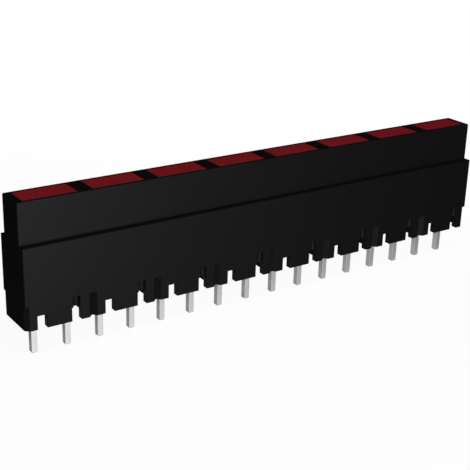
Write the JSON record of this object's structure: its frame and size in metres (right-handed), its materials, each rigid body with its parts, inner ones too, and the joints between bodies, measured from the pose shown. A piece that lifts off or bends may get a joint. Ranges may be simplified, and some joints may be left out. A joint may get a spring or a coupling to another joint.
{
  "type": "led array",
  "caption": "Straight row of flush rectangular red lamps in a stepped black moulded housing, on a row of straight solder leads.",
  "frame": {"origin": "middle of the row of leads, on the plane of the housing's feet, where the board's upper face comes", "axes": "+X along the row, +Z out of the lamp windows, -Y the side with the cathode marks"},
  "size_m": [0.0406, 0.0036, 0.0114],
  "materials": {
    "housing": "fine matt",
    "lens": "tinted diffused epoxy, satin",
    "lead": "tinned, satin",
    "chip": "sawn semiconductor",
    "wire": "bright gold"
  },
  "bodies": {
    "root": {"housing": "housing", "led_1_anode_lead": "lead", "led_1_bond_wire": "wire", "led_1_cathode_lead": "lead", "led_1_chip": "chip", "led_1_lens": "lens", "led_2_anode_lead": "lead", "led_2_bond_wire": "wire", "led_2_cathode_lead": "lead", "led_2_chip": "chip", "led_2_lens": "lens", "led_3_anode_lead": "lead", "led_3_bond_wire": "wire", "led_3_cathode_lead": "lead", "led_3_chip": "chip", "led_3_lens": "lens", "led_4_anode_lead": "lead", "led_4_bond_wire": "wire", "led_4_cathode_lead": "lead", "led_4_chip": "chip", "led_4_lens": "lens", "led_5_anode_lead": "lead", "led_5_bond_wire": "wire", "led_5_cathode_lead": "lead", "led_5_chip": "chip", "led_5_lens": "lens", "led_6_anode_lead": "lead", "led_6_bond_wire": "wire", "led_6_cathode_lead": "lead", "led_6_chip": "chip", "led_6_lens": "lens", "led_7_anode_lead": "lead", "led_7_bond_wire": "wire", "led_7_cathode_lead": "lead", "led_7_chip": "chip", "led_7_lens": "lens", "led_8_anode_lead": "lead", "led_8_bond_wire": "wire", "led_8_cathode_lead": "lead", "led_8_chip": "chip", "led_8_lens": "lens"}
  },
  "joints": []
}
